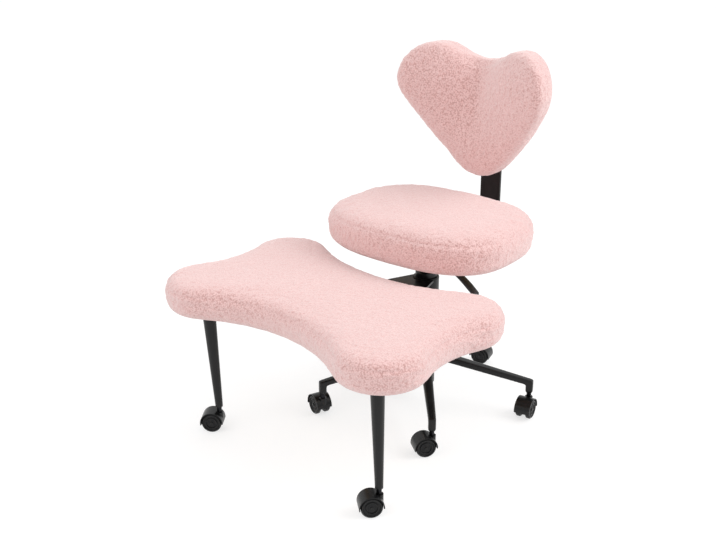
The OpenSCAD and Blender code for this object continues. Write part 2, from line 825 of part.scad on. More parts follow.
// Swing arm: a flared and cranked plate welded to a sleeve that turns round the column
module swing_arm() {
    color(steel_black) on_rest() difference() {
        intersection() {
            translate([0, 0, arm_top - arm_t]) linear_extrude(arm_root + arm_t - arm_top)
                polygon([
                    [-arm_neck, 0],
                    [-arm_wide, -arm_flare_y],
                    [-arm_wide, arm_corner - arm_reach],
                    [arm_corner - arm_wide, -arm_reach],
                    [arm_wide - arm_corner, -arm_reach],
                    [arm_wide, arm_corner - arm_reach],
                    [arm_wide, -arm_flare_y],
                    [arm_neck, 0]
                ]);
            rotate([90, 0, 90]) linear_extrude(2 * arm_wide, center = true)
                polygon([
                    [0, arm_root - arm_t],
                    [-arm_slope_from, arm_root - arm_t],
                    [-arm_slope_to, arm_top - arm_t],
                    [-arm_reach, arm_top - arm_t],
                    [-arm_reach, arm_top],
                    [-arm_slope_to, arm_top],
                    [-arm_slope_from, arm_root],
                    [0, arm_root]
                ]);
        }
        translate([0, 0, sleeve_low])
            cylinder(h = 2 * sleeve_len, d = sleeve_d);
        at_arm_bolts(arm_top - arm_t)
            bolt_hole(arm_t);
    }
}
module arm_sleeve() {
    color(steel_black) translate([0, 0, sleeve_low]) difference() {
        cylinder(h = sleeve_len, d = sleeve_d);
        translate([0, 0, -overrun])
            cylinder(h = sleeve_len + 2 * overrun, d = tube_d + 2 * fit + 2 * bush_wall);
    }
}
module arm_bush() {
    color(nylon_black) translate([0, 0, sleeve_low - bush_flange_t]) difference() {
        union() {
            cylinder(h = sleeve_len + 2 * bush_flange_t, d = tube_d + 2 * fit + 2 * bush_wall);
            cylinder(h = bush_flange_t, d = sleeve_d - bush_wall);
            translate([0, 0, sleeve_len + bush_flange_t])
                cylinder(h = bush_flange_t, d = sleeve_d - bush_wall);
        }
        translate([0, 0, -overrun])
            cylinder(h = sleeve_len + 2 * bush_flange_t + 2 * overrun, d = tube_d + 2 * fit);
    }
}

// Casters, drawn with the stem on the Z axis and the wheels trailing along +X
module at_caster(k) {
    c = casters[k - 1];
    rotate(c[1])
        translate([c[0], 0])
            rotate(c[2] - c[1])
                children();
}
module along_axle() {
    translate([trail, 0, wheel_r]) rotate([90, 0, 0]) children();
}
module caster_hood(k) {
    color(plastic_black) at_caster(k) difference() {
        union() {
            along_axle() difference() {
                translate([0, 0, -hood_half])
                    cylinder(h = 2 * hood_half, r = hood_r);
                for (s = [0, 1])
                    mirror([0, 0, s])
                        translate([0, 0, web_w / 2])
                            cylinder(h = wheel_w * 2, r = hood_in_r);
                rotate(atan2(hood_r * (sin(hood_lead) - sin(hood_tail)), hood_r * (cos(hood_lead) + cos(hood_tail))))
                    translate([-2 * hood_r, -4 * hood_r - hood_r * sin((hood_lead + hood_tail) / 2), -2 * hood_half])
                        cube([4 * hood_r, 4 * hood_r, 4 * hood_half]);
            }
            along_axle()
                translate([0, 0, -web_w / 2])
                    cylinder(h = web_w, r = web_r);
            difference() {
                translate([0, 0, wheel_r])
                    cylinder(h = boss_top - wheel_r, r = boss_r);
                along_axle()
                    for (s = [0, 1])
                        mirror([0, 0, s])
                            translate([0, 0, web_w / 2])
                                cylinder(h = wheel_w * 2, r = hood_in_r);
            }
        }
        along_axle()
            translate([0, 0, -web_w])
                cylinder(h = 2 * web_w, d = axle_d);
        translate([0, 0, stem_low - soft_gap])
            cylinder(h = boss_top, d = stem_journal_d + 2 * stem_fit);
        translate([0, 0, boss_top])
            cylinder(h = hood_r, d = stem_d + 2 * soft_gap);
    }
}
module caster_axle(k) {
    color(bright_steel) at_caster(k) along_axle()
        translate([0, 0, -axle_half])
            cylinder(h = 2 * axle_half, d = axle_d);
}
module caster_wheel(k, side) {
    low = web_w / 2 + wheel_play;
    high = low + wheel_w;
    color(plastic_black) at_caster(k) along_axle() mirror([0, 0, side])
        rotate_extrude()
            polygon([
                [axle_d / 2 + fit, low],
                [wheel_r - tyre_edge, low],
                [wheel_r, low + tyre_edge],
                [wheel_r, high - tyre_edge],
                [wheel_r - tyre_edge, high],
                [dish_r, high],
                [dish_r - dish_depth, high - dish_depth],
                [cap_r + dish_depth / 2, high - dish_depth],
                [cap_r, high - dish_depth / 2],
                [0, high - dish_depth / 2],
                [0, high - axle_in + fit],
                [axle_d / 2 + fit, high - axle_in + fit]
            ]);
}

star_hub();
star_leg(1);  // star_leg_1
star_leg(2);  // star_leg_2
star_leg(3);  // star_leg_3
star_leg(4);  // star_leg_4
star_leg(5);  // star_leg_5
base_caster_stems();
column_tube();
guide_bush();
thrust_bearing();
piston_rod();
retaining_clip();
gas_cylinder();
valve_button();
seat_plate();
release_lever();
lever_grip();
seat_board();
seat_cushion();
back_bar();
back_board();
back_cushion();
seat_bolts();
leg_rest_board();
leg_rest_cushion();
leg_rest_leg(-1);  // leg_rest_leg_left
leg_rest_leg(1);  // leg_rest_leg_right
swing_arm();
arm_sleeve();
arm_bush();
leg_rest_bolts();
leg_rest_caster_stems();
caster_hood(1);  // caster_1_hood
caster_axle(1);  // caster_1_axle
caster_wheel(1, 0);  // caster_1_wheel_left
caster_wheel(1, 1);  // caster_1_wheel_right
caster_hood(2);  // caster_2_hood
caster_axle(2);  // caster_2_axle
caster_wheel(2, 0);  // caster_2_wheel_left
caster_wheel(2, 1);  // caster_2_wheel_right
caster_hood(3);  // caster_3_hood
caster_axle(3);  // caster_3_axle
caster_wheel(3, 0);  // caster_3_wheel_left
caster_wheel(3, 1);  // caster_3_wheel_right
caster_hood(4);  // caster_4_hood
caster_axle(4);  // caster_4_axle
caster_wheel(4, 0);  // caster_4_wheel_left
caster_wheel(4, 1);  // caster_4_wheel_right
caster_hood(5);  // caster_5_hood
caster_axle(5);  // caster_5_axle
caster_wheel(5, 0);  // caster_5_wheel_left
caster_wheel(5, 1);  // caster_5_wheel_right
caster_hood(6);  // caster_6_hood
caster_axle(6);  // caster_6_axle
caster_wheel(6, 0);  // caster_6_wheel_left
caster_wheel(6, 1);  // caster_6_wheel_right
caster_hood(7);  // caster_7_hood
caster_axle(7);  // caster_7_axle
caster_wheel(7, 0);  // caster_7_wheel_left
caster_wheel(7, 1);  // caster_7_wheel_right
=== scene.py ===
import math

import bmesh
import bpy
import numpy as np
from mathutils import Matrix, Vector
from mathutils.bvhtree import BVHTree


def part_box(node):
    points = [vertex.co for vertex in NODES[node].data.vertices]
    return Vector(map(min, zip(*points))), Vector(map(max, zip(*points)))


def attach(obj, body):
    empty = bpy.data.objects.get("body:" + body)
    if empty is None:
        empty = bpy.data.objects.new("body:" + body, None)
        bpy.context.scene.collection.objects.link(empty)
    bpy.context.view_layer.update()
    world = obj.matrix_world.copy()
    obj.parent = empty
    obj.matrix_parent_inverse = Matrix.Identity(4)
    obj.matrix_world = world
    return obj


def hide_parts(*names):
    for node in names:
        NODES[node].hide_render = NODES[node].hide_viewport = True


bl_info = {
    "name": "Cross-legged office chair",
    "version": (1, 0, 0),
    "blender": (4, 5, 0),
    "location": "3D View > Sidebar > Chair",
    "description": "Cushions, finishes, small parts and studio for a cross-legged office chair",
    "category": "Object",
}

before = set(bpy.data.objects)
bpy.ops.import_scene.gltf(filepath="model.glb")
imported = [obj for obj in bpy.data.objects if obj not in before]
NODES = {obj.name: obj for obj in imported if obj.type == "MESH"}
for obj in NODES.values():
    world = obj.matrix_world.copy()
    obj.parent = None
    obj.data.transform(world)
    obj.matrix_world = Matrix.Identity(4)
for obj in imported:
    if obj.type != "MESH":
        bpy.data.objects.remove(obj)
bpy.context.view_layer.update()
MM = 0.001

# Strengths of smoothing: one rounds edges off, the other gives back what that takes
ROUND, KEEP = 0.5, -0.52
# How far the heart's sides come forward of its middle
HEART_SWEEP = 67 * MM
# Middle of the right lobe, and where the valley between the lobes fades in
LOBE_ACROSS, LOBE_UP, LOBE_SPREAD = 100 * MM, 735 * MM, 60 * MM
VALLEY_LOW, VALLEY_HIGH, VALLEY_SPREAD = 570 * MM, 700 * MM, 42 * MM
LOBE_RISE, VALLEY_DEPTH = 9 * MM, 14 * MM
# The lever's angle below level, and the leg rest's turn round the column
LEVER_DROOP = math.radians(35.5)
REST_TURN = math.radians(-3.8)
# Directions of the star's five legs
STAR_TURNS = [math.radians(-50 + 72 * k) for k in range(5)]
# Sewn seams: height above the cushion's back, width and depth
SEAT_SEAM = (70 * MM, 3.0 * MM, 2.0 * MM)
HEART_SEAM = (34 * MM, 3.0 * MM, 0.9 * MM)
REST_SEAM = (53 * MM, 2.8 * MM, 2.4 * MM)
# Section of the fabric's folded edge, in millimetres: outward from the board's edge, and above its back
HEM_SECTION = ((4.5, -0.5), (1.5, -1.5), (-3, -1.9), (-8, -2.0), (-13, -2.0), (-16.5, -1.7), (-17.2, -0.8),
               (-16.5, 0.2), (-8, 0.2), (1.5, 0.2))
HEM_WIDTH = 16
STAPLE_PITCH = 34 * MM
# Sections of the button and the two rings on a wheel, in millimetres: reach, and rise above the wheel's face
WHEEL_BUTTON = ((0.5, 0.9), (2.6, 0.85), (3.6, 0.5), (4.0, -0.4))
WHEEL_RINGS = (((11.4, -0.4), (11.8, 0.35), (12.6, 0.5), (13.2, 0.3), (13.4, -0.4)),
               ((17.6, -0.4), (18.0, 0.5), (19.4, 0.75), (20.4, 0.45), (20.8, -0.4)))


# Colour and shader helpers

def linear(code):
    """Linear colour of an sRGB hex value."""
    shares = [int(code[i:i + 2], 16) / 255 for i in (1, 3, 5)]
    return [s / 12.92 if s <= 0.04045 else ((s + 0.055) / 1.055) ** 2.4 for s in shares]


def opaque(colour):
    """Four numbers for a colour socket."""
    return (*colour, 1.0)


def add_node(tree, kind, inputs=None, **settings):
    """Adds one shader node with its settings; an input is a constant or the socket that feeds it."""
    node = tree.nodes.new(kind)
    for name, value in settings.items():
        setattr(node, name, value)
    for socket, value in (inputs or {}).items():
        if isinstance(value, bpy.types.NodeSocket):
            tree.links.new(value, node.inputs[socket])
        else:
            node.inputs[socket].default_value = value
    return node


def new_material(name):
    """Empty node material with its tree and output."""
    material = bpy.data.materials.new(name)
    material.use_nodes = True
    tree = material.node_tree
    tree.nodes.clear()
    return material, tree, add_node(tree, "ShaderNodeOutputMaterial")


def blend_colours(tree, share, first, second):
    """Colour socket that runs from one colour to the other."""
    mix = add_node(tree, "ShaderNodeMix", {"Factor": share}, data_type="RGBA")
    for socket, colour in ((mix.inputs[6], first), (mix.inputs[7], second)):
        if isinstance(colour, bpy.types.NodeSocket):
            tree.links.new(colour, socket)
        else:
            socket.default_value = opaque(colour)
    return mix.outputs[2]


def stretch(tree, value, low, high, to_low=0.0, to_high=1.0):
    """Socket with a value's range mapped to another, and held at its ends."""
    return add_node(tree, "ShaderNodeMapRange", {
        "Value": value,
        "From Min": low,
        "From Max": high,
        "To Min": to_low,
        "To Max": to_high,
    }).outputs["Result"]


def place(tree, scale=(1, 1, 1)):
    """Object coordinates in metres, stretched along the axes."""
    spot = add_node(tree, "ShaderNodeTexCoord").outputs["Object"]
    return add_node(tree, "ShaderNodeMapping", {"Vector": spot, "Scale": scale}).outputs["Vector"]


def per_metre(size_mm):
    """Texture scale at which one feature is so many millimetres wide."""
    return 1000 / size_mm


# Materials

def sherpa_fleece(cloth):
    """Knitted polyester sherpa: a curly pile brushed up from a flat back.

    Curls of about 3 mm give a grainy matt surface, and the loose fibre ends
    catch light at a glancing angle. The darker, redder colour down at their
    roots is painted shade between the curls. Seen square on, painted shade
    shows as dark specks between the curls; at a glance the tips hide them.
    """
    material, tree, output = new_material("sherpa fleece, knitted and brushed")
    spot = place(tree)
    warp = add_node(tree, "ShaderNodeTexNoise", {
        "Vector": spot, "Scale": per_metre(5), "Detail": 2.0, "Roughness": 0.6})
    bent = add_node(tree, "ShaderNodeVectorMath", {
        0: warp.outputs["Color"], 1: (3.2 * MM, 3.2 * MM, 3.2 * MM)}, operation="MULTIPLY")
    moved = add_node(tree, "ShaderNodeVectorMath", {0: spot, 1: bent.outputs["Vector"]}, operation="ADD")
    curls = add_node(tree, "ShaderNodeTexVoronoi", {
        "Vector": moved.outputs["Vector"], "Scale": per_metre(cloth.curl_size / MM), "Smoothness": 0.6,
        "Randomness": 1.0}, feature="SMOOTH_F1")
    strands = add_node(tree, "ShaderNodeTexNoise", {
        "Vector": moved.outputs["Vector"], "Scale": per_metre(1.1), "Detail": 2.0, "Roughness": 0.7})
    patches = add_node(tree, "ShaderNodeTexNoise", {
        "Vector": spot, "Scale": per_metre(45), "Detail": 3.0, "Roughness": 0.55})
    crest = stretch(tree, curls.outputs["Distance"], 0.12, 0.72, 1.0, 0.0)
    crest = add_node(tree, "ShaderNodeMath", {
        0: stretch(tree, strands.outputs["Fac"], 0.25, 0.75, -0.2, 0.2), 1: crest}, operation="ADD")
    lit = stretch(tree, crest.outputs["Value"], 0.0, 1.0)
    # Painted shade: the pile runs from the shaded root colour in the hollows to the tip colour on the crests.
    pile = blend_colours(tree, lit, cloth.shaded_root_colour, cloth.tip_colour)
    brushed = stretch(tree, patches.outputs["Fac"], 0.35, 0.65, 0.0, 0.14)
    colour = blend_colours(tree, brushed, pile, cloth.shaded_root_colour)
    # Painted shade: dark specks between the curls, strongest where the surface faces the camera.
    glance = add_node(tree, "ShaderNodeLayerWeight", {"Blend": 0.5})
    gap_shade_share = add_node(tree, "ShaderNodeMath", {
        0: stretch(tree, crest.outputs["Value"], 0.0, 0.45, 1.0, 0.0),
        1: stretch(tree, glance.outputs["Facing"], 0.1, 0.46, 0.62, 0.0)}, operation="MULTIPLY")
    colour = blend_colours(tree, gap_shade_share.outputs["Value"], colour, cloth.painted_gap_shade)
    bump = add_node(tree, "ShaderNodeBump", {
        "Height": crest.outputs["Value"], "Strength": 0.7, "Distance": cloth.pile_height})
    shader = add_node(tree, "ShaderNodeBsdfPrincipled", {
        "Base Color": colour,
        "Roughness": 0.95,
        "IOR": 1.5,
        "Specular IOR Level": 0.25,
        "Sheen Weight": 1.0,
        "Sheen Roughness": 0.7,
        "Sheen Tint": opaque(linear("#FFF1EF")),
        "Normal": bump.outputs["Normal"],
    })
    tree.links.new(shader.outputs["BSDF"], output.inputs["Surface"])
    return material


def powder_coated_steel(finish):
    """Mild steel, bent and welded, then powder coated and baked satin black.

    The coat flows into a faint orange peel, which breaks up its soft highlights.
    """
    material, tree, output = new_material("mild steel, powder coated satin black")
    spot = place(tree)
    peel = add_node(tree, "ShaderNodeTexNoise", {
        "Vector": spot, "Scale": per_metre(1.6), "Detail": 2.0, "Roughness": 0.5})
    dust = add_node(tree, "ShaderNodeTexNoise", {
        "Vector": spot, "Scale": per_metre(38), "Detail": 4.0, "Roughness": 0.6})
    bump = add_node(tree, "ShaderNodeBump", {
        "Height": peel.outputs["Fac"], "Strength": 0.35, "Distance": 0.12 * MM})
    colour = blend_colours(tree, stretch(tree, dust.outputs["Fac"], 0.35, 0.7), finish.steel_colour,
                           [c * 1.4 + 0.001 for c in finish.steel_colour])
    shader = add_node(tree, "ShaderNodeBsdfPrincipled", {
        "Base Color": colour,
        "Roughness": stretch(tree, dust.outputs["Fac"], 0.3, 0.7, 0.27, 0.38),
        "IOR": 1.5,
        "Specular IOR Level": 0.32,
        "Normal": bump.outputs["Normal"],
    })
    tree.links.new(shader.outputs["BSDF"], output.inputs["Surface"])
    return material


def plated_steel(name, colour, roughness, grain_mm, along):
    """Steel that was turned or ground and then plated, with fine marks across its length.

    The marks draw each highlight out along them; they are drawn wider than real
    ones, which would be too fine to show.
    """
    material, tree, output = new_material(name)
    scale = tuple(0.06 if axis == along else 1 for axis in "XYZ")
    marks = add_node(tree, "ShaderNodeTexNoise", {
        "Vector": place(tree, scale), "Scale": per_metre(grain_mm), "Detail": 3.0, "Roughness": 0.6})
    bump = add_node(tree, "ShaderNodeBump", {
        "Height": marks.outputs["Fac"], "Strength": 0.25, "Distance": 0.05 * MM})
    shader = add_node(tree, "ShaderNodeBsdfPrincipled", {
        "Base Color": blend_colours(tree, marks.outputs["Fac"], colour, [c * 0.82 for c in colour]),
        "Metallic": 1.0,
        "Roughness": stretch(tree, marks.outputs["Fac"], 0.3, 0.7, roughness * 0.85, roughness * 1.2),
        "Normal": bump.outputs["Normal"],
    })
    tree.links.new(shader.outputs["BSDF"], output.inputs["Surface"])
    return material


def moulded_plastic(name, colour, roughness, grain_mm, ior, gloss=0.5):
    """Thermoplastic, injection moulded in a spark-eroded tool.

    The tool leaves a fine even grain that dulls the gloss; it is drawn a little
    coarser than real so that it shows.
    """
    material, tree, output = new_material(name)
    spot = place(tree)
    grain = add_node(tree, "ShaderNodeTexNoise", {
        "Vector": spot, "Scale": per_metre(grain_mm), "Detail": 2.0, "Roughness": 0.55})
    flow = add_node(tree, "ShaderNodeTexNoise", {
        "Vector": spot, "Scale": per_metre(22), "Detail": 2.0, "Roughness": 0.5})
    bump = add_node(tree, "ShaderNodeBump", {
        "Height": grain.outputs["Fac"], "Strength": 0.3, "Distance": 0.08 * MM})
    shader = add_node(tree, "ShaderNodeBsdfPrincipled", {
        "Base Color": blend_colours(tree, flow.outputs["Fac"], colour, [c * 1.35 + 0.001 for c in colour]),
        "Roughness": stretch(tree, grain.outputs["Fac"], 0.3, 0.7, roughness * 0.85, roughness * 1.15),
        "IOR": ior,
        "Specular IOR Level": gloss,
        "Normal": bump.outputs["Normal"],
    })
    tree.links.new(shader.outputs["BSDF"], output.inputs["Surface"])
    return material


def birch_plywood(finish):
    """Birch plywood, sawn and left bare: a rotary-cut face with long pale figure, and thin plies at its edge."""
    material, tree, output = new_material("birch plywood, sawn and left bare")
    figure = add_node(tree, "ShaderNodeTexNoise", {
        "Vector": place(tree, (0.09, 1, 1)), "Scale": per_metre(9), "Detail": 5.0, "Roughness": 0.55,
        "Distortion": 0.8})
    pores = add_node(tree, "ShaderNodeTexNoise", {
        "Vector": place(tree, (0.05, 1, 1)), "Scale": per_metre(0.9), "Detail": 2.0, "Roughness": 0.6})
    plies = add_node(tree, "ShaderNodeTexWave", {
        "Vector": place(tree, (0, 0, 1)), "Scale": per_metre(3) / 10, "Distortion": 0.4}, bands_direction="Z")
    dark = linear("#B98F5E")
    wood = blend_colours(tree, stretch(tree, figure.outputs["Fac"], 0.35, 0.68), finish.wood_colour, dark)
    wood = blend_colours(tree, stretch(tree, pores.outputs["Fac"], 0.52, 0.7, 0.0, 0.35), wood, linear("#8E6A43"))
    wood = blend_colours(tree, stretch(tree, plies.outputs["Fac"], 0.6, 0.9, 0.0, 0.15), wood, dark)
    bump = add_node(tree, "ShaderNodeBump", {
        "Height": pores.outputs["Fac"], "Strength": 0.4, "Distance": 0.15 * MM})
    shader = add_node(tree, "ShaderNodeBsdfPrincipled", {
        "Base Color": wood,
        "Roughness": stretch(tree, pores.outputs["Fac"], 0.3, 0.7, 0.58, 0.74),
        "IOR": 1.5,
        "Normal": bump.outputs["Normal"],
    })
    tree.links.new(shader.outputs["BSDF"], output.inputs["Surface"])
    return material


def studio_floor(studio):
    """Seamless paper, matt and white: seen directly it stays near white, and it keeps the chair's soft shadow."""
    material, tree, output = new_material("seamless paper, matt white")
    paths = add_node(tree, "ShaderNodeLightPath")
    seen = add_node(tree, "ShaderNodeMath", {
        0: paths.outputs["Is Camera Ray"], 1: paths.outputs["Is Glossy Ray"]}, operation="MAXIMUM")
    seen = add_node(tree, "ShaderNodeMath", {
        0: seen.outputs["Value"], 1: paths.outputs["Is Transmission Ray"]}, operation="MAXIMUM")
    paper = add_node(tree, "ShaderNodeBsdfDiffuse", {"Color": opaque(studio.floor_colour)})
    shade = add_node(tree, "ShaderNodeBsdfDiffuse", {"Color": opaque(linear("#A8A8A8"))})
    glow = add_node(tree, "ShaderNodeEmission", {"Strength": studio.floor_glow})
    white = add_node(tree, "ShaderNodeAddShader", {0: shade.outputs["BSDF"], 1: glow.outputs["Emission"]})
    mix = add_node(tree, "ShaderNodeMixShader", {
        "Fac": seen.outputs["Value"], 1: paper.outputs["BSDF"], 2: white.outputs["Shader"]})
    tree.links.new(mix.outputs["Shader"], output.inputs["Surface"])
    return material


# Settings that a user would change

class ChairFabric(bpy.types.PropertyGroup):
    """Sizes and colours of the three cushions."""

    tip_colour: bpy.props.FloatVectorProperty(
        name="Pile colour", description="Colour of the tips of the curls",
        subtype="COLOR", size=3, min=0, max=1, default=linear("#F5D0CD"))
    # Painted shade: this darker root colour stands for the shade down between the curls.
    shaded_root_colour: bpy.props.FloatVectorProperty(
        name="Root colour", description="Colour of the curls down at their roots",
        subtype="COLOR", size=3, min=0, max=1, default=linear("#E2ADA9"))
    # Painted shade: this dark colour stands for the shade deep between the curls, seen square on, not the knitted
    # back's own colour.
    painted_gap_shade: bpy.props.FloatVectorProperty(
        name="Gap colour", description="Colour of the knitted back, seen deep between the curls",
        subtype="COLOR", size=3, min=0, max=1, default=linear("#B07A72"))
    curl_size: bpy.props.FloatProperty(
        name="Curl size", description="Width of one curl of the pile",
        unit="LENGTH", subtype="DISTANCE", min=1.5 * MM, max=8 * MM, default=3.0 * MM)
    pile_height: bpy.props.FloatProperty(
        name="Curl relief", description="How far the curls stand out of the pile",
        unit="LENGTH", subtype="DISTANCE", min=0.2 * MM, max=4 * MM, default=1.3 * MM)
    tuft_relief: bpy.props.FloatProperty(
        name="Tuft relief", description="How far the clumps of curls stand out",
        unit="LENGTH", subtype="DISTANCE", min=0, max=2 * MM, default=0.7 * MM)
    pile_stand: bpy.props.FloatProperty(
        name="Pile height", description="How far the pile stands out of the cushion's own shape",
        unit="LENGTH", subtype="DISTANCE", min=0, max=4 * MM, default=1.2 * MM)
    voxel: bpy.props.FloatProperty(
        name="Mesh size", description="Spacing of the points that the padding is blown up with",
        unit="LENGTH", subtype="DISTANCE", min=4 * MM, max=8 * MM, default=5 * MM)
    pressure: bpy.props.FloatProperty(
        name="Filling pressure", description="How hard the padding pushes on the fabric",
        min=0, max=20, default=4)
    swell: bpy.props.FloatProperty(
        name="Swell", description="The most that the padding may push the fabric out",
        unit="LENGTH", subtype="DISTANCE", min=0, max=16 * MM, default=9 * MM)
    give: bpy.props.FloatProperty(
        name="Give", description="Share of the swelling that the firm foam leaves",
        subtype="FACTOR", min=0, max=1, default=0.35)


class ChairFinishes(bpy.types.PropertyGroup):
    """Colours of the hard parts."""

    steel_colour: bpy.props.FloatVectorProperty(
        name="Powder coat", description="Colour of the coated steel",
        subtype="COLOR", size=3, min=0, max=1, default=linear("#0D0D0E"))
    hood_colour: bpy.props.FloatVectorProperty(
        name="Caster hoods", description="Colour of the moulded hoods",
        subtype="COLOR", size=3, min=0, max=1, default=linear("#0C0C0D"))
    wheel_colour: bpy.props.FloatVectorProperty(
        name="Caster wheels", description="Colour of the wheels",
        subtype="COLOR", size=3, min=0, max=1, default=linear("#101012"))
    wood_colour: bpy.props.FloatVectorProperty(
        name="Plywood", description="Colour of the boards under the cushions",
        subtype="COLOR", size=3, min=0, max=1, default=linear("#D9B98C"))


class ChairStudio(bpy.types.PropertyGroup):
    """Camera, lights and floor."""

    camera_at: bpy.props.FloatVectorProperty(
        name="Camera", description="Place of the camera",
        unit="LENGTH", subtype="TRANSLATION", size=3, default=(1.3026, -1.8407, 1.2062))
    camera_turn: bpy.props.FloatVectorProperty(
        name="Camera turn", description="Rotation of the camera",
        unit="ROTATION", subtype="EULER", size=3,
        default=(math.radians(68.74), 0, math.radians(39.2775)))
    lens: bpy.props.FloatProperty(
        name="Lens", description="Focal length on a 36 mm wide sensor, in millimetres",
        min=20, max=200, default=52.846)
    world_level: bpy.props.FloatProperty(
        name="Room light", description="Strength of the even light from all round",
        min=0, max=2, default=0.88)
    key_power: bpy.props.FloatProperty(
        name="Key light", description="Power of the large lamp above the chair",
        unit="POWER", min=0, max=500, default=55)
    fill_power: bpy.props.FloatProperty(
        name="Fill light", description="Power of the lamp beside the camera",
        unit="POWER", min=0, max=500, default=15)
    floor_colour: bpy.props.FloatVectorProperty(
        name="Floor", description="Colour of the paper under the chair",
        subtype="COLOR", size=3, min=0, max=1, default=linear("#E6E6E6"))
    floor_glow: bpy.props.FloatProperty(
        name="Floor glow", description="What is added to the floor where the camera sees it",
        min=0, max=1, default=0.68)


# Mesh helpers

def new_piece(name, mesh, material, body):
    """Puts a mesh in the scene as a piece that rides on a body."""
    made = bpy.data.objects.new(name, mesh)
    bpy.context.scene.collection.objects.link(made)
    mesh.materials.clear()
    mesh.materials.append(material)
    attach(made, body)
    return made


def smooth_shading(mesh):
    """Shades every face smooth."""
    mesh.polygons.foreach_set("use_smooth", np.ones(len(mesh.polygons), bool))


def settle_modifiers(made):
    """Turns what an object's modifiers make into its own mesh."""
    graph = bpy.context.evaluated_depsgraph_get()
    mesh = bpy.data.meshes.new_from_object(made.evaluated_get(graph))
    made.modifiers.clear()
    old = made.data
    made.data = mesh
    bpy.data.meshes.remove(old)


def points_of(mesh):
    """The mesh's points as rows of x, y and z."""
    points = np.empty(len(mesh.vertices) * 3, np.float32)
    mesh.vertices.foreach_get("co", points)
    return points.reshape(-1, 3).astype(float)


def normals_of(mesh):
    """The mesh's normals at its points."""
    normals = np.empty(len(mesh.vertices) * 3, np.float32)
    mesh.vertex_normals.foreach_get("vector", normals)
    return normals.reshape(-1, 3).astype(float)


def move_points(mesh, points):
    """Gives the mesh's points new places."""
    mesh.vertices.foreach_set("co", points.astype(np.float32).ravel())
    mesh.update()


def even_out(mesh, rounds, back=KEEP, share=1.0):
    """Takes the facets out of a mesh.

    back is the strength of every second round: KEEP undoes the shrinking of
    the round before, and ROUND goes on and rounds the edges off. share gives
    each point its part of the movement.
    """
    edges = np.empty(len(mesh.edges) * 2, np.int32)
    mesh.edges.foreach_get("vertices", edges)
    one, other = edges.reshape(-1, 2).T
    count = np.bincount(edges, minlength=len(mesh.vertices))[:, None]
    points = points_of(mesh)
    for step in range(2 * rounds):
        total = np.zeros_like(points)
        np.add.at(total, one, points[other])
        np.add.at(total, other, points[one])
        points += share * (ROUND if step % 2 == 0 else back) * (total / count - points)
    move_points(mesh, points)


def lumps(points, size, seed):
    """Smooth noise from -1 to 1 with lumps of one size."""
    cell = points / size
    low = np.floor(cell).astype(np.int64)
    part = cell - low
    part = part * part * (3 - 2 * part)
    total = np.zeros(len(points))
    for corner in np.ndindex(2, 2, 2):
        mixed = ((low + corner) @ np.array([73856093, 19349663, 83492791]) + seed * 7919) & 0x7FFFFFFF
        mixed = ((mixed ^ (mixed >> 13)) * 1274126177) & 0x7FFFFFFF
        mixed = mixed ^ (mixed >> 15)
        share = np.prod(np.where(corner, part, 1 - part), axis=1)
        total += ((mixed & 0xFFFF) / 32767.5 - 1) * share
    return total


def ramp(values, low, high):
    """Smooth step from 0 at low to 1 at high."""
    share = np.clip((values - low) / (high - low), 0, 1)
    return share * share * (3 - 2 * share)


def welded(mesh):
    """Copy of a mesh whose points that lie together are one."""
    copy = mesh.copy()
    work = bmesh.new()
    work.from_mesh(copy)
    bmesh.ops.remove_doubles(work, verts=work.verts, dist=0.01 * MM)
    work.to_mesh(copy)
    work.free()
    return copy


def remeshed(node, voxel, rounds):
    """New object in a CAD solid's shape, with an even mesh and its edges softened."""
    made = bpy.data.objects.new(node + "_soft", welded(NODES[node].data))
    bpy.context.scene.collection.objects.link(made)
    even = made.modifiers.new("even", "REMESH")
    even.mode = "VOXEL"
    even.voxel_size = voxel
    settle_modifiers(made)
    even_out(made.data, rounds)
    return made


def mesh_of(name, points, faces):
    """Smooth mesh from lists of points and faces, without the points that no face uses."""
    used = sorted({i for face in faces for i in face})
    number = {old: new for new, old in enumerate(used)}
    mesh = bpy.data.meshes.new(name)
    mesh.from_pydata([tuple(points[i]) for i in used], [], [[number[i] for i in face] for face in faces])
    mesh.validate()
    smooth_shading(mesh)
    return mesh


def tubes(name, paths, radius, sides=8, ripple=0.0, pitch=3 * MM, up=(0, 0, 1)):
    """Mesh of round tubes along paths, each a list of points and whether it closes."""
    points, faces = [], []
    for path, closed in paths:
        path = np.array(path, float)
        count = len(path)
        if closed:
            run = np.roll(path, -1, 0) - np.roll(path, 1, 0)
        else:
            run = np.gradient(path, axis=0)
        run /= np.linalg.norm(run, axis=1, keepdims=True)
        side = np.cross(run, up)
        side /= np.linalg.norm(side, axis=1, keepdims=True)
        over = np.cross(side, run)
        far = np.concatenate([[0], np.cumsum(np.linalg.norm(np.diff(path, axis=0), axis=1))])
        thick = radius * (1 + ripple * np.sin(2 * math.pi * far / pitch))
        if not closed:
            thick[[0, -1]] *= 0.45
        base = len(points)
        for k in range(count):
            for j in range(sides):
                turn = 2 * math.pi * j / sides
                points.append(path[k] + thick[k] * (side[k] * math.cos(turn) + over[k] * math.sin(turn)))
        for k in range(count if closed else count - 1):
            for j in range(sides):
                a, b = base + k * sides, base + (k + 1) % count * sides
                faces.append((a + j, b + j, b + (j + 1) % sides, a + (j + 1) % sides))
        if not closed:
            faces.append(tuple(base + j for j in range(sides)))
            faces.append(tuple(base + (count - 1) * sides + j for j in reversed(range(sides))))
    return mesh_of(name, points, faces)


# Cushions

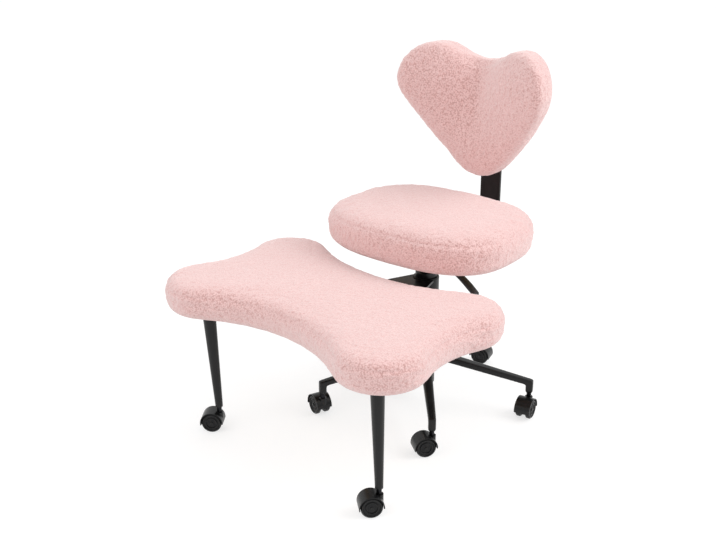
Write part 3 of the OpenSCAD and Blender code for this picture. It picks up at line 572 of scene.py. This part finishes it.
def blow_up(made, held, cloth):
    """Blows the cushion up with Blender's cloth, held at its back, and caps how far it moves.

    The foam inside is firm, so the fabric keeps only a share of what the
    pressure would do: its face crowns and its sides pull in between the corners.
    """
    start = points_of(made.data)
    group = made.vertex_groups.new(name="held")
    group.add([int(i) for i in np.flatnonzero(held > 0.5)], 1.0, "REPLACE")
    fabric = made.modifiers.new("fabric", "CLOTH")
    physics = fabric.settings
    physics.quality = 5
    physics.mass = 0.3
    physics.tension_stiffness = 15
    physics.compression_stiffness = 15
    physics.shear_stiffness = 5
    physics.bending_stiffness = 0.5
    physics.use_pressure = True
    physics.uniform_pressure_force = cloth.pressure
    physics.effector_weights.gravity = 0
    physics.vertex_group_mass = "held"
    fabric.collision_settings.use_collision = False
    frames = 20
    fabric.point_cache.frame_end = frames
    for number in range(1, frames + 1):
        bpy.context.scene.frame_set(number)
    settle_modifiers(made)
    bpy.context.scene.frame_set(1)
    moved = points_of(made.data) - start
    reach = np.linalg.norm(moved, axis=1, keepdims=True)
    moved *= np.minimum(1, cloth.swell / np.maximum(reach, 1e-9)) * cloth.give
    move_points(made.data, start + moved * (1 - held[:, None]))


def cushion(node, body, height, seam, form=None, rounding=0):
    """Soft cushion in the place of a CAD solid.

    height gives each point's distance from the cushion's back, seam the line
    sewn round it, form how far the padding stands out at some points, and
    rounding how often its front edge is smoothed.
    """
    cloth = settings()[0]
    made = remeshed(node, cloth.voxel, 6)
    mesh = made.data
    if rounding:
        front = ramp(height(points_of(mesh)), 26 * MM, 46 * MM)
        even_out(mesh, rounding, ROUND, front[:, None])
    points = points_of(mesh)
    held = 1 - ramp(height(points), 14 * MM, 30 * MM)
    blow_up(made, held, cloth)
    finer = made.modifiers.new("finer", "SUBSURF")
    finer.levels = 1
    finer.render_levels = 1
    settle_modifiers(made)
    mesh = made.data
    points = points_of(mesh)
    normals = normals_of(mesh)
    level = height(points)
    at, width, depth = seam
    wander = 0.6 * MM * lumps(points, 30 * MM, 5)
    sink = depth * np.exp(-((level - at + wander) / width) ** 2)
    upright = 1 + 0.9 * (1 - np.abs(normals[:, 2]))
    tufts = cloth.tuft_relief * upright * (lumps(points, 6 * MM, 1) + 0.6 * lumps(points, 3.2 * MM, 2))
    soft = 0.9 * MM * lumps(points, 70 * MM, 3)
    inside = 1 - ramp(level, 8 * MM, 16 * MM)
    out = (tufts + soft + cloth.pile_stand) * (1 - 0.8 * inside) - sink
    if form:
        out += form(points)
    move_points(mesh, points + normals * out[:, None])
    smooth_shading(mesh)
    mesh.materials.clear()
    mesh.materials.append(fleece())
    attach(made, body)
    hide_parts(node)


def heart_back(across):
    """Place of the heart's curved back, from the front of the chair to its rear."""
    lowest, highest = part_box("back_cushion")
    half = (highest.x - lowest.x) / 2
    return highest.y - HEART_SWEEP * (across / half) ** 2


def heart_depth(points):
    """Distance of points in front of the heart's curved back."""
    return heart_back(points[:, 0]) - points[:, 1]


def settings():
    """The scene's fabric, finishes and studio settings."""
    scene = bpy.context.scene
    return scene.chair_fabric, scene.chair_finishes, scene.chair_studio


def shared(name, make):
    """A material that several pieces use, made once."""
    found = bpy.data.materials.get(name)
    return found or make()


def fleece():
    """The cushions' one fabric."""
    return shared("sherpa fleece, knitted and brushed", lambda: sherpa_fleece(settings()[0]))


def coated():
    """The frame's one powder coat."""
    return shared("mild steel, powder coated satin black", lambda: powder_coated_steel(settings()[1]))


def dress(material, *nodes):
    """Gives CAD nodes a finish."""
    for name in nodes:
        mesh = NODES[name].data
        mesh.materials.clear()
        mesh.materials.append(material)


class CHAIR_OT_seat_cushion(bpy.types.Operator):
    """Makes the round-cornered seat cushion"""

    bl_idname = "chair.seat_cushion"
    bl_label = "Seat cushion"

    def execute(self, context):
        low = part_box("seat_cushion")[0].z
        cushion("seat_cushion", "seat", lambda points: points[:, 2] - low, SEAT_SEAM)
        return {"FINISHED"}


class CHAIR_OT_back_cushion(bpy.types.Operator):
    """Makes the heart-shaped back cushion"""

    bl_idname = "chair.back_cushion"
    bl_label = "Back cushion"

    def execute(self, context):
        def form(points):
            """Padding that is fullest in the lobes, with a soft valley under the notch."""
            front = ramp(heart_depth(points), 40 * MM, 62 * MM)
            across, up = points[:, 0], points[:, 2]
            lobes = np.exp(-((np.abs(across) - LOBE_ACROSS) ** 2 + (up - LOBE_UP) ** 2) / LOBE_SPREAD ** 2)
            valley = np.exp(-(across / VALLEY_SPREAD) ** 2) * ramp(up, VALLEY_LOW, VALLEY_HIGH)
            return front * (LOBE_RISE * lobes - VALLEY_DEPTH * valley)

        cushion("back_cushion", "seat", heart_depth, HEART_SEAM, form, 12)
        return {"FINISHED"}


class CHAIR_OT_leg_rest_cushion(bpy.types.Operator):
    """Makes the waisted leg rest cushion"""

    bl_idname = "chair.leg_rest_cushion"
    bl_label = "Leg rest cushion"

    def execute(self, context):
        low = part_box("leg_rest_cushion")[0].z
        cushion("leg_rest_cushion", "leg_rest", lambda points: points[:, 2] - low, REST_SEAM)
        return {"FINISHED"}


def rim(node, flat, turns):
    """Outline of a board seen from its back, as centre, directions and reaches for so many turns."""
    mesh = welded(NODES[node].data)
    points = flat(points_of(mesh))
    tree = BVHTree.FromPolygons(points.tolist(), [list(face.vertices) for face in mesh.polygons])
    bpy.data.meshes.remove(mesh)
    low, high = points.min(0), points.max(0)
    centre = (low + high) / 2
    ways, reaches = [], []
    for k in range(turns):
        angle = 2 * math.pi * k / turns
        way = np.array([math.cos(angle), math.sin(angle), 0])
        hit = tree.ray_cast(Vector(centre + way * 0.8), Vector(-way))[0]
        ways.append(way[:2])
        reaches.append(np.linalg.norm(np.array(hit)[:2] - centre[:2]))
    return centre[:2], np.array(ways), np.array(reaches)


def hem(node, body, flat, unflat, skip):
    """Fabric edge turned in over a board's back, and the staples that hold it.

    flat lays the board's points out as across, along and height above its back,
    and unflat puts such points back; skip tells where something is bolted on
    and the fabric is cut away.
    """
    turns = 360
    centre, ways, reaches = rim(node, flat, turns)
    line = centre + ways * reaches[:, None]
    run = np.roll(line, -1, 0) - np.roll(line, 1, 0)
    run /= np.linalg.norm(run, axis=1, keepdims=True)
    outward = np.stack([run[:, 1], -run[:, 0]], 1)
    spot = np.column_stack([line, np.zeros(turns)])
    wander = 2.2 * MM * lumps(spot, 26 * MM, 11)
    open_here = np.array([skip(p) for p in line])
    points, faces = [], []
    for k in range(turns):
        for offset, level in HEM_SECTION:
            share = min(1, max(0, -offset / HEM_WIDTH))
            flat_point = line[k] + outward[k] * (offset * MM + share * wander[k])
            puff = 0.35 * MM * lumps(np.array([[*flat_point, level * MM]]), 9 * MM, 12)[0]
            points.append((*flat_point, level * MM + (puff if level < 0 else 0)))
    count = len(HEM_SECTION)
    for k in range(turns):
        after = (k + 1) % turns
        if open_here[k] or open_here[after]:
            continue
        a, b = k * count, after * count
        for j in range(count):
            faces.append((a + j, a + (j + 1) % count, b + (j + 1) % count, b + j))
        if open_here[k - 1]:
            faces.append(tuple(range(a + count - 1, a - 1, -1)))
        if open_here[(after + 1) % turns]:
            faces.append(tuple(range(b, b + count)))
    mesh = mesh_of(node + "_hem", unflat(np.array(points)), faces)
    new_piece(node + "_hem", mesh, fleece(), body)

    paths = []
    far = np.cumsum(np.linalg.norm(np.diff(line, axis=0, append=line[:1]), axis=1))
    for number in range(int(far[-1] / STAPLE_PITCH)):
        k = int(np.searchsorted(far, (number + 0.5) * STAPLE_PITCH)) % turns
        near = open_here[k - 3:k + 4]
        if near.any() or len(near) < 7:
            continue
        tilt = 0.5 * math.sin(number * 2.4)
        along = run[k] * math.cos(tilt) + outward[k] * math.sin(tilt)
        at = line[k] - outward[k] * 9 * MM
        ends = [(at - along * 5 * MM, -1.2), (at - along * 4.6 * MM, -2.4), (at, -2.6),
                (at + along * 4.6 * MM, -2.4), (at + along * 5 * MM, -1.2)]
        paths.append(([*unflat(np.array([[*p, z * MM] for p, z in ends]))], False))
    mesh = tubes(node + "_staples", paths, 0.45 * MM, 6, up=(0.13, 0.21, 0.97))
    new_piece(node + "_staples", mesh, staple_wire(), body)


def staple_wire():
    """The boards' one staple finish."""
    name = "steel wire, drawn and galvanised"
    return shared(name, lambda: plated_steel(name, linear("#C2C4C6"), 0.3, 0.8, "X"))


class CHAIR_OT_boards(bpy.types.Operator):
    """Finishes the plywood boards, and staples the fabric's edge to them"""

    bl_idname = "chair.boards"
    bl_label = "Boards"

    def execute(self, context):
        dress(birch_plywood(settings()[1]), "seat_board", "back_board", "leg_rest_board")
        bar_room, bar_top, arm_room = 34 * MM, 640 * MM, 84 * MM
        for node, body, room, turn in (("seat_board", "seat", bar_room, 0.0),
                                       ("leg_rest_board", "leg_rest", arm_room, REST_TURN)):
            lowest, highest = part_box(node)
            low = np.array([0, 0, lowest.z])
            middle = (lowest.y + highest.y) / 2
            across = np.array([math.cos(turn), math.sin(turn)])

            def flat(points):
                """Across, along and above the board's underside."""
                return points - low

            def unflat(points):
                """Back from flat to the chair."""
                return points + low

            def skip(point):
                """Where the back bar or the swing arm passes under the rear edge."""
                return abs(point @ across) < room and point[1] > middle

            hem(node, body, flat, unflat, skip)

        def flat(points):
            """Across, up and in front of the back board's curved back."""
            return np.column_stack([points[:, 0], points[:, 2], heart_depth(points)])

        def unflat(points):
            """Back from flat to the chair."""
            return np.column_stack([points[:, 0], heart_back(points[:, 0]) - points[:, 2], points[:, 1]])

        hem("back_board", "seat", flat, unflat, lambda point: abs(point[0]) < bar_room and point[1] < bar_top)
        return {"FINISHED"}


class CHAIR_OT_steelwork(bpy.types.Operator):
    """Finishes the coated steel of the base, back bar, arm and legs"""

    bl_idname = "chair.steelwork"
    bl_label = "Steelwork"

    def execute(self, context):
        dress(coated(), "star_hub", "column_tube", "seat_plate", "back_bar", "leg_rest_leg_left",
              "leg_rest_leg_right", "swing_arm", "arm_sleeve")
        for k in range(1, 6):
            made = remeshed(f"star_leg_{k}", 1.8 * MM, 3)
            even_out(made.data, 4, ROUND)
            smooth_shading(made.data)
            made.data.materials.clear()
            made.data.materials.append(coated())
            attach(made, "base")
            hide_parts(f"star_leg_{k}")

        leg_half_w, leg_half_h, leg_drop, proud = 13.5 * MM, 8 * MM, 11 * MM, 0.8 * MM
        root_r, root_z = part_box("star_hub")[1].x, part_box("star_hub")[1].z - leg_drop
        loops = []
        for turn in STAR_TURNS:
            loop = []
            for k in range(48):
                angle = 2 * math.pi * k / 48
                x, z = (math.copysign(abs(f(angle)) ** 0.4, f(angle)) for f in (math.cos, math.sin))
                sideways, up = leg_half_w * x, root_z + leg_half_h * z
                reach = math.sqrt(root_r ** 2 - sideways ** 2) + proud
                loop.append((reach * math.cos(turn) - sideways * math.sin(turn),
                             reach * math.sin(turn) + sideways * math.cos(turn), up))
            loops.append((loop, True))
        mesh = tubes("leg_welds", loops, 1.9 * MM, 8, 0.16, up=(0.05, 0.03, 1))
        new_piece("leg_welds", mesh, coated(), "base")

        weld_r, arm_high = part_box("arm_sleeve")[1].x + 0.6 * MM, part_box("swing_arm")[1].z
        half_turn = math.radians(58)
        arcs = []
        for z in (arm_high - 0.6 * MM, arm_high - 5.2 * MM):
            arc = []
            for k in range(40):
                angle = REST_TURN - math.pi / 2 + half_turn * (k / 19.5 - 1)
                arc.append((weld_r * math.cos(angle), weld_r * math.sin(angle), z))
            arcs.append((arc, False))
        leg_top_r, under_flange = 15.6 * MM, 5.4 * MM
        for leg in ("left", "right"):
            lowest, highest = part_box(f"leg_rest_leg_{leg}")
            middle = (lowest + highest) / 2
            ring = []
            for k in range(40):
                angle = 2 * math.pi * k / 40
                ring.append((middle.x + leg_top_r * math.cos(angle), middle.y + leg_top_r * math.sin(angle),
                             highest.z - under_flange))
            arcs.append((ring, True))
        mesh = tubes("rest_welds", arcs, 1.7 * MM, 8, 0.16)
        new_piece("rest_welds", mesh, coated(), "leg_rest")
        return {"FINISHED"}


class CHAIR_OT_column(bpy.types.Operator):
    """Finishes the gas spring, its bearings and the two bushes"""

    bl_idname = "chair.column"
    bl_label = "Column"

    def execute(self, context):
        finishes = settings()[1]
        dress(plated_steel("steel, ground and hard chromed", linear("#C9CACC"), 0.18, 1.0, "Z"), "piston_rod")
        dress(plated_steel("steel, turned and blacked", linear("#3A3A3C"), 0.32, 1.2, "Z"),
              "gas_cylinder", "valve_button", "thrust_bearing", "retaining_clip")
        dress(moulded_plastic("nylon, injection moulded black", finishes.hood_colour, 0.42, 0.7, 1.53),
              "guide_bush", "arm_bush")
        return {"FINISHED"}


class CHAIR_OT_lever(bpy.types.Operator):
    """Finishes the height lever and its grip"""

    bl_idname = "chair.lever"
    bl_label = "Lever"

    def execute(self, context):
        dress(coated(), "release_lever")
        lowest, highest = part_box("lever_grip")
        down = Vector((math.cos(LEVER_DROOP), 0, -math.sin(LEVER_DROOP)))
        over = Vector((math.sin(LEVER_DROOP), 0, math.cos(LEVER_DROOP)))
        start = Vector((lowest.x, (lowest.y + highest.y) / 2, highest.z)) + Vector((3.8, 0, -5.3)) * MM
        length = (highest.x - 0.6 * MM - start.x) / math.cos(LEVER_DROOP)
        rings, sides = 26, 28
        points, faces = [], []
        for k in range(rings):
            share = 1 - (1 - k / (rings - 1)) ** 1.5
            round_off = math.sqrt(max(0.02, 1 - max(0, (share - 0.93) / 0.07) ** 2))
            round_off *= math.sqrt(max(0.3, 1 - max(0, (0.04 - share) / 0.04) ** 2))
            half_w = (6.8 + 3.2 * float(ramp(np.array(share), 0.05, 0.7))) * MM * round_off
            half_t = (6.4 - 2.2 * share) * MM * round_off
            middle = start + down * (length * share) + over * (2.2 * MM * math.sin(math.pi * share) - 0.8 * MM)
            for j in range(sides):
                angle = 2 * math.pi * j / sides
                across, lift = (math.copysign(abs(f(angle)) ** 0.65, f(angle)) for f in (math.cos, math.sin))
                points.append(middle + Vector((0, half_w * across, 0)) + over * (half_t * lift))
        for k in range(rings - 1):
            for j in range(sides):
                a, b = k * sides, (k + 1) * sides
                faces.append((a + j, a + (j + 1) % sides, b + (j + 1) % sides, b + j))
        faces.append(tuple(reversed(range(sides))))
        faces.append(tuple(range((rings - 1) * sides, rings * sides)))
        mesh = mesh_of("grip_paddle", points, faces)
        grip = moulded_plastic("polypropylene, injection moulded black", linear("#161618"), 0.3, 0.8, 1.49)
        made = new_piece("grip_paddle", mesh, grip, "lever")
        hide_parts("lever_grip")
        return {"FINISHED"}


def wheel_cap(wheel, axle):
    """Raised button and rings on the outer face of a wheel, turned round its axle."""
    points = points_of(NODES[wheel].data)
    pin = points_of(NODES[axle].data)
    middle = (pin.min(0) + pin.max(0)) / 2
    along = np.linalg.svd(pin - pin.mean(0), full_matrices=False)[2][0]
    along *= np.sign((points.mean(0) - middle) @ along)
    side = np.cross(along, (0, 0, 1))
    side /= np.linalg.norm(side)
    over = np.cross(side, along)
    face = ((points - middle) @ along).max()
    made, faces, turns = [], [], 40
    for profile in (WHEEL_BUTTON, *WHEEL_RINGS):
        base, count = len(made), len(profile)
        solid = profile is WHEEL_BUTTON
        for reach, rise in profile:
            for j in range(turns):
                angle = 2 * math.pi * j / turns
                made.append(middle + along * (face + rise * MM)
                            + (side * math.cos(angle) + over * math.sin(angle)) * reach * MM)
        for i in range(count - 1 if solid else count):
            for j in range(turns):
                a, b = base + i * turns, base + (i + 1) % count * turns
                faces.append((a + j, a + (j + 1) % turns, b + (j + 1) % turns, b + j))
        if solid:
            faces.append(tuple(reversed(range(base, base + turns))))
            faces.append(tuple(range(base + (count - 1) * turns, base + count * turns)))
    return mesh_of(wheel + "_cap", made, faces)


class CHAIR_OT_casters(bpy.types.Operator):
    """Finishes the seven twin-wheel casters"""

    bl_idname = "chair.casters"
    bl_label = "Casters"

    def execute(self, context):
        finishes = settings()[1]
        hood = moulded_plastic("nylon, injection moulded gloss black", finishes.hood_colour, 0.3, 0.7, 1.53, 0.3)
        wheel = moulded_plastic("polyurethane, moulded black", finishes.wheel_colour, 0.42, 0.9, 1.5, 0.3)
        zinc = plated_steel("steel, turned and zinc plated", linear("#B9BBBD"), 0.3, 0.8, "Z")
        cap = moulded_plastic("polypropylene, injection moulded gloss black", finishes.hood_colour, 0.2, 0.9, 1.49,
                              0.32)
        for k in range(1, 8):
            axle = f"caster_{k}_axle"
            dress(hood, f"caster_{k}_hood")
            dress(zinc, axle)
            for name in (f"caster_{k}_wheel_left", f"caster_{k}_wheel_right"):
                dress(wheel, name)
                new_piece(name + "_cap", wheel_cap(name, axle), cap, name)
        dress(plated_steel("steel, turned and black zinc plated", linear("#2E2E31"), 0.3, 0.8, "Z"),
              "base_caster_stems", "leg_rest_caster_stems")
        return {"FINISHED"}


class CHAIR_OT_fasteners(bpy.types.Operator):
    """Finishes the bolts"""

    bl_idname = "chair.fasteners"
    bl_label = "Fasteners"

    def execute(self, context):
        dress(plated_steel("steel, cold headed and black zinc plated", linear("#2B2B2E"), 0.3, 0.9, "Z"),
              "seat_bolts", "leg_rest_bolts")
        return {"FINISHED"}


def area_lamp(name, at, towards, size, power):
    """Large soft lamp that points at a place."""
    lamp = bpy.data.lights.new(name, "AREA")
    lamp.shape = "DISK"
    lamp.size = size
    lamp.energy = power
    made = bpy.data.objects.new(name, lamp)
    bpy.context.scene.collection.objects.link(made)
    made.location = at
    made.rotation_euler = (Vector(towards) - Vector(at)).to_track_quat("-Z", "Y").to_euler()
    return made


class CHAIR_OT_stage(bpy.types.Operator):
    """Sets the floor, the lights and the camera"""

    bl_idname = "chair.stage"
    bl_label = "Stage"

    def execute(self, context):
        studio = settings()[2]
        scene = context.scene
        mesh = bpy.data.meshes.new("floor")
        mesh.from_pydata([(-60, -60, 0), (60, -60, 0), (60, 60, 0), (-60, 60, 0)], [], [(0, 1, 2, 3)])
        floor = bpy.data.objects.new("floor", mesh)
        scene.collection.objects.link(floor)
        mesh.materials.append(studio_floor(studio))

        world = bpy.data.worlds.new("studio")
        world.use_nodes = True
        tree = world.node_tree
        tree.nodes.clear()
        sky = add_node(tree, "ShaderNodeBackground", {
            "Color": (1, 1, 1, 1), "Strength": studio.world_level})
        add_node(tree, "ShaderNodeOutputWorld", {"Surface": sky.outputs["Background"]})
        scene.world = world

        middle = (0.05, -0.15, 0.4)
        area_lamp("key", (2.4, 1.5, 2.6), middle, 2.4, studio.key_power)
        area_lamp("fill", (-0.6, -2.6, 2.2), middle, 2.4, studio.fill_power)

        camera = bpy.data.objects.new("camera", bpy.data.cameras.new("camera"))
        scene.collection.objects.link(camera)
        camera.location = studio.camera_at
        camera.rotation_euler = studio.camera_turn
        camera.data.sensor_width = 36
        camera.data.sensor_fit = "HORIZONTAL"
        camera.data.lens = studio.lens
        scene.camera = camera
        scene.view_settings.view_transform = "Standard"
        return {"FINISHED"}


STEPS = (
    CHAIR_OT_seat_cushion,
    CHAIR_OT_back_cushion,
    CHAIR_OT_leg_rest_cushion,
    CHAIR_OT_boards,
    CHAIR_OT_steelwork,
    CHAIR_OT_column,
    CHAIR_OT_lever,
    CHAIR_OT_casters,
    CHAIR_OT_fasteners,
    CHAIR_OT_stage,
)


class CHAIR_PT_panel(bpy.types.Panel):
    """Lists the chair's steps and settings"""

    bl_idname = "CHAIR_PT_panel"
    bl_label = "Cross-legged office chair"
    bl_space_type = "VIEW_3D"
    bl_region_type = "UI"
    bl_category = "Chair"

    def draw(self, context):
        for group in settings():
            box = self.layout.box()
            for name in group.__annotations__:
                box.prop(group, name)
        for step in STEPS:
            self.layout.operator(step.bl_idname)


CLASSES = (ChairFabric, ChairFinishes, ChairStudio, *STEPS, CHAIR_PT_panel)


def register():
    """Adds the classes and the scene's settings."""
    for one in CLASSES:
        bpy.utils.register_class(one)
    bpy.types.Scene.chair_fabric = bpy.props.PointerProperty(type=ChairFabric)
    bpy.types.Scene.chair_finishes = bpy.props.PointerProperty(type=ChairFinishes)
    bpy.types.Scene.chair_studio = bpy.props.PointerProperty(type=ChairStudio)


def unregister():
    """Takes the settings and the classes away."""
    del bpy.types.Scene.chair_studio
    del bpy.types.Scene.chair_finishes
    del bpy.types.Scene.chair_fabric
    for one in reversed(CLASSES):
        bpy.utils.unregister_class(one)


def main():
    """Makes the whole chair and its studio."""
    register()
    for step in STEPS:
        getattr(bpy.ops.chair, step.bl_idname.split(".")[1])()


if __name__ == "__main__":
    main()
